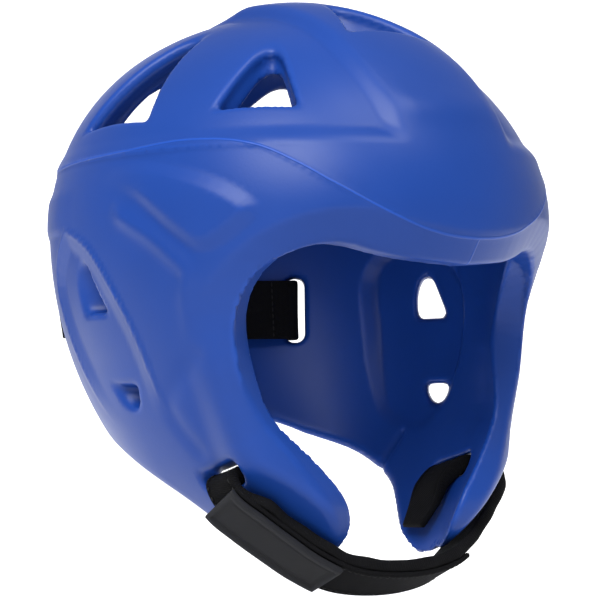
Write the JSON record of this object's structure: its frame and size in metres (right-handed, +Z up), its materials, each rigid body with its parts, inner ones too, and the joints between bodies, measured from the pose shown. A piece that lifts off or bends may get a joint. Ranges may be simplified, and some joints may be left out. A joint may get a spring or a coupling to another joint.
{
  "type": "kickboxing headgear",
  "caption": "Moulded foam sparring headgear with an open face, triangular crown vents, ear vents, a padded hook-and-loop chin strap and a rear strap.",
  "frame": {"origin": "highest point of the hollow inside the crown, where the shell rests on the head", "axes": "+Z up, -Y the way the face looks, +X the wearer's left"},
  "size_m": [0.2138, 0.248, 0.2689],
  "materials": {
    "blue_foam": "satin dipped skin over closed-cell foam",
    "black_webbing": "padded black fabric with bound edges",
    "closure_webbing": "brushed loop tape with a stitched border",
    "badge_rubber": "matte moulded rubber with a raised border",
    "rear_elastic": "flat woven elastic"
  },
  "bodies": {
    "root": {"shell": "blue_foam", "chin_strap": "black_webbing", "closure_strap": "closure_webbing", "strap_badge": "badge_rubber", "rear_strap": "rear_elastic"}
  },
  "joints": []
}
